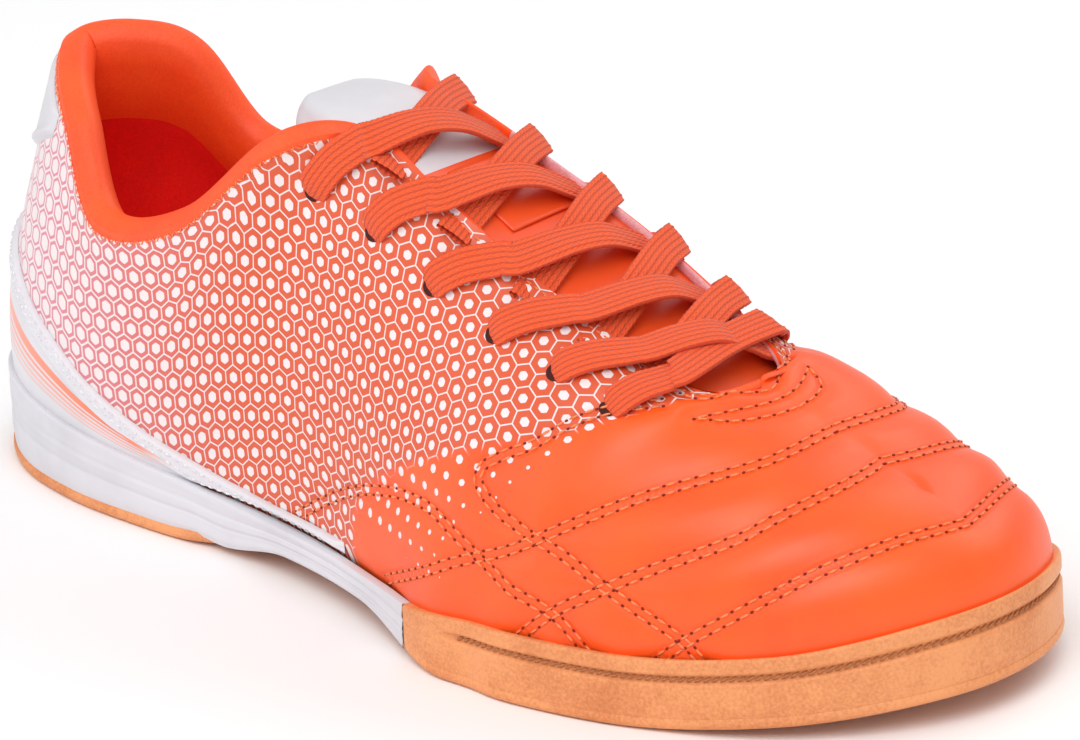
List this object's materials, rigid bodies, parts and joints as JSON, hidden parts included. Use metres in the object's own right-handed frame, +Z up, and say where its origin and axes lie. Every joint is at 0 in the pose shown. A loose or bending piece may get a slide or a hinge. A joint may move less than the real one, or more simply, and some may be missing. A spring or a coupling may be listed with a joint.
{
  "type": "indoor soccer shoe",
  "caption": "Low indoor soccer shoe for the right foot with a padded collar, crossed flat laces, quilted vamp, white midsole and a gum cupsole.",
  "frame": {"origin": "on the floor, under the centre of the shoe's bounding box", "axes": "+X to the toe, +Y to the inner side of the foot, +Z up"},
  "size_m": [0.2874, 0.1086, 0.1077],
  "materials": {
    "gum_rubber": "matt, moulded, with a stitched groove",
    "white_foam": "moulded foam with faint flowing ribs",
    "orange_leather": "soft, slight sheen, printed with a fading hexagon pattern",
    "orange_lining": "brushed textile",
    "tongue_leather": "smooth, orange below and white at its top",
    "white_synthetic": "smooth, stitched, with thin coral stripes",
    "orange_braid": "flat woven lace"
  },
  "bodies": {
    "root": {"outsole": "gum_rubber", "midsole": "white_foam", "upper": "orange_leather", "insole": "orange_lining", "tongue": "tongue_leather", "tongue_keeper": "orange_leather", "heel_counter": "white_synthetic", "heel_tab": "white_synthetic", "lace_1": "orange_braid", "lace_2": "orange_braid", "lace_3": "orange_braid", "lace_4": "orange_braid", "lace_5": "orange_braid"}
  },
  "joints": []
}
